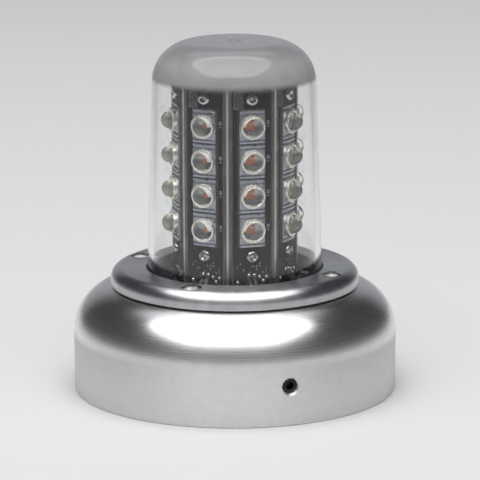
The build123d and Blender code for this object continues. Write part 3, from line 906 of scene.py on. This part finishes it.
stainless = Finish("stainless_steel", Metallic=1.0, Base_Color=(0.62, 0.60, 0.56, 1))
x, y, z = stainless.place()
wear = stainless.noise(stainless.vector(x, y, z), 2.2, 3, 0.6)
stainless.drive(Roughness=0.12 + wear * 0.14,
                Base_Color=stainless.mix(wear.between(0.3, 0.7), (0.52, 0.50, 0.46), (0.70, 0.69, 0.66)))
stainless.bump(wear, 0.01, 0.4)

board_screw = pan_screw("board_screw", 1.6, 1.2, 0.97, 4.8, (1.7, 0.4, 0.95, 1.2))
screws = copies(board_screw, "board_screw_set",
                [facing(FACE_R, a, z) for a in FACE_AZIMUTHS for z in BOARD_SCREW_ZS])
keep(screws, BODY, "board_screws", finish=stainless.material, slot="stainless_steel")

# %% Ring screws
HEAD_CROWN = 0.70
crown_ball = (RING_HEAD_R ** 2 + HEAD_CROWN ** 2) / (2 * HEAD_CROWN)
half_angle = degrees(asin(RING_HEAD_R / crown_ball))
head_line = round_corner(0, HEAD_CROWN - crown_ball, crown_ball, 90 - half_angle, 90, 6)
ring_screw = turned("ring_screw", [(0, -8), (1.46, -8), (1.46, -1.1), *head_line[:-1], (0, HEAD_CROWN)],
                    steps=48, closed=False)
for blade in cross_cutter("blade", 2.9, 0.62, 1.2, HEAD_CROWN):
    cut(ring_screw, blade)
ring_screws = copies(ring_screw, "ring_screw_set", [
    Matrix.Translation(toward(RING_SCREW_PCR, a, RING_TOP)) @ Matrix.Rotation(radians(a + 20), 4, "Z")
    for a in RING_SCREW_AZIMUTHS])
keep(ring_screws, BODY, "ring_screws", finish=stainless.material, slot="stainless_steel")

# %% [markdown]
# ## Foot of the column
# Black compound is poured round the foot and creeps up the boards in low lumps. Bright solder joints hold
# the wires on each board's lowest pads.

# %% Poured compound
low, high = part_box("foot_potting")
POTTING_R = high.x / MM
POTTING_TOP = high.z / MM
potting = turned("potting", [(14.4, DECK_Z), (POTTING_R, DECK_Z), (POTTING_R, POTTING_TOP + 0.15),
                             (POTTING_R - 0.5, POTTING_TOP - 0.05), (19.6, POTTING_TOP - 0.15),
                             (18.2, POTTING_TOP - 0.12), (16.8, POTTING_TOP), (15.4, POTTING_TOP + 0.35),
                             (14.4, POTTING_TOP + 0.5)], steps=144)
lump_noise = bpy.data.textures.new("lumps", "CLOUDS")
lump_noise.noise_scale = 2.2 * MM
lumps = potting.modifiers.new("lumps", "DISPLACE")
lumps.texture = lump_noise
lumps.direction = "Z"
lumps.strength = 0.9 * MM
lumps.mid_level = 0.5
apply_modifiers(potting)
pour = Finish("black_compound", IOR=1.5)
x, y, z = pour.place()
skin = pour.noise(pour.vector(x, y, z), 0.8, 4, 0.6)
pour.drive(Base_Color=pour.mix(skin.between(0.3, 0.7), (0.008, 0.008, 0.010), (0.022, 0.022, 0.026)),
           Roughness=0.2 + skin * 0.25)
pour.bump(skin, 0.15, 0.6)
keep(potting, BODY, "foot_potting", finish=pour.material, angle=60, slot="black_potting")

# %% Solder joints
def solder_bead(radius, height):
    """Domed bead flattened on the board's face."""
    clear_selection()
    bpy.ops.mesh.primitive_uv_sphere_add(segments=20, ring_count=12, radius=radius * MM)
    bead = begin("bead")
    bead.scale = (1, 1.15, height / radius)
    settle(bead)
    bpy.ops.object.mode_set(mode="EDIT")
    bpy.ops.mesh.select_all(action="SELECT")
    bpy.ops.mesh.bisect(plane_co=(0, 0, 0.02 * MM), plane_no=(0, 0, 1), clear_inner=True, use_fill=True)
    object_mode()
    return bead


bead_spots = [(-3.6, 30.5), (-0.7, 32.2), (0.7, 32.2), (2.0, 31.7), (2.9, 30.6), (3.8, 31.6)]
solder = Finish("solder", Metallic=1.0, Base_Color=(0.85, 0.85, 0.84, 1))
x, y, z = solder.place()
grain = solder.noise(solder.vector(x, y, z), 3.0, 3, 0.6)
solder.drive(Roughness=0.12 + grain * 0.2,
             Base_Color=solder.mix(grain.between(0.3, 0.7), (0.70, 0.70, 0.70), (0.88, 0.88, 0.87)))
beads = copies(solder_bead(0.5, 0.42), "solder_joints",
               [facing(FACE_R, a, 0) @ Matrix.Translation(Vector((u * MM, v * MM, 0)))
                for a in FACE_AZIMUTHS for u, v in bead_spots])
keep(beads, BODY, finish=solder.material, angle=60, slot="emitter_silver")

# %% [markdown]
# ## Fasteners, seals and the inside
# The remaining parts have the right shape already, so they keep their engineering mesh and only get a
# finish. One function builds the cloudy, slightly uneven surface that cast, moulded and plated parts share,
# and the values say what each one is. The plate underneath was faced on a lathe, so its marks run round.

# %% Cloudy finish
def cloudy(name, dark, light, roughness, spread, scale, bump, **constants):
    """Uneven colour and roughness with a fine skin; scale is in cycles per millimetre."""
    finish = Finish(name, **constants)
    x, y, z = finish.place()
    cloud = finish.noise(finish.vector(x, y, z), scale, 4, 0.6)
    skin = finish.noise(finish.vector(x, y, z), scale * 7, 3, 0.6)
    finish.drive(Base_Color=finish.mix(cloud.between(0.3, 0.7), dark, light),
                 Roughness=roughness + (cloud - 0.5) * spread)
    finish.bump(skin, bump, 0.5)
    return finish


rubber = cloudy("black_rubber", (0.012, 0.012, 0.013), (0.024, 0.024, 0.026), 0.62, 0.2, 0.7, 0.02)
insulation = cloudy("wire_insulation", (0.010, 0.010, 0.012), (0.022, 0.022, 0.026), 0.30, 0.2, 1.2, 0.01)
black_oxide = cloudy("black_oxide", (0.020, 0.020, 0.022), (0.050, 0.048, 0.046), 0.36, 0.25, 1.1, 0.01,
                     Metallic=0.8)
brass = cloudy("brass", (0.52, 0.36, 0.13), (0.72, 0.54, 0.24), 0.28, 0.2, 0.9, 0.01, Metallic=1.0)
moulding = cloudy("black_moulding", (0.014, 0.014, 0.015), (0.035, 0.034, 0.034), 0.48, 0.2, 0.9, 0.02)
pad_grey = cloudy("thermal_pad", (0.16, 0.17, 0.18), (0.26, 0.27, 0.28), 0.75, 0.2, 0.8, 0.03)

for name, finish in (("ring_gasket", rubber), ("lens_o_ring", rubber), ("cover_gasket", rubber),
                     ("cable_grommet", rubber), ("led_wires", insulation), ("driver_parts", moulding),
                     ("set_screw_front", black_oxide), ("set_screw_right", black_oxide),
                     ("set_screw_left", black_oxide), ("cover_screws", stainless),
                     ("driver_screws", stainless), ("tie_rod", stainless), ("tie_washers", stainless),
                     ("tie_nuts", stainless), ("driver_spacers", brass), ("thermal_pads", pad_grey)):
    dress(name, finish)

# %% Cover plate
plate_metal = Finish("faced_plate", Metallic=1.0)
marks = plate_metal.noise(plate_metal.lathe_place(0.6, 10.0), 1.0, 4, 0.65)
x, y, z = plate_metal.place()
stain = plate_metal.noise(plate_metal.vector(x, y, z), 0.15, 4, 0.6)
plate_metal.drive(Base_Color=plate_metal.mix(stain.between(0.3, 0.7), (0.58, 0.58, 0.57), (0.72, 0.71, 0.70)),
                  Roughness=0.28 + marks * 0.14 + stain * 0.1)
plate_metal.bump(marks, 0.01, 0.5)
dress("cover_plate", plate_metal)

# %% Driver board
green = Finish("green_solder_mask", IOR=1.5)
x, y, z = green.place()
lane = (x * 1.6 + green.noise(green.vector(x, y, 0.0), 0.25, 1, 0.5) * 6).maths("FRACT")
track = abs(lane - 0.5) < 0.18
zone = green.noise(green.vector(x, y, 5.0), 0.3, 2, 0.5) > 0.5
copper = track * zone
green.drive(Base_Color=green.mix(copper, (0.010, 0.085, 0.035), (0.030, 0.17, 0.075)),
            Roughness=0.32 + copper * 0.08)
green.bump(copper, 0.02, 0.5)
dress("driver_board", green)
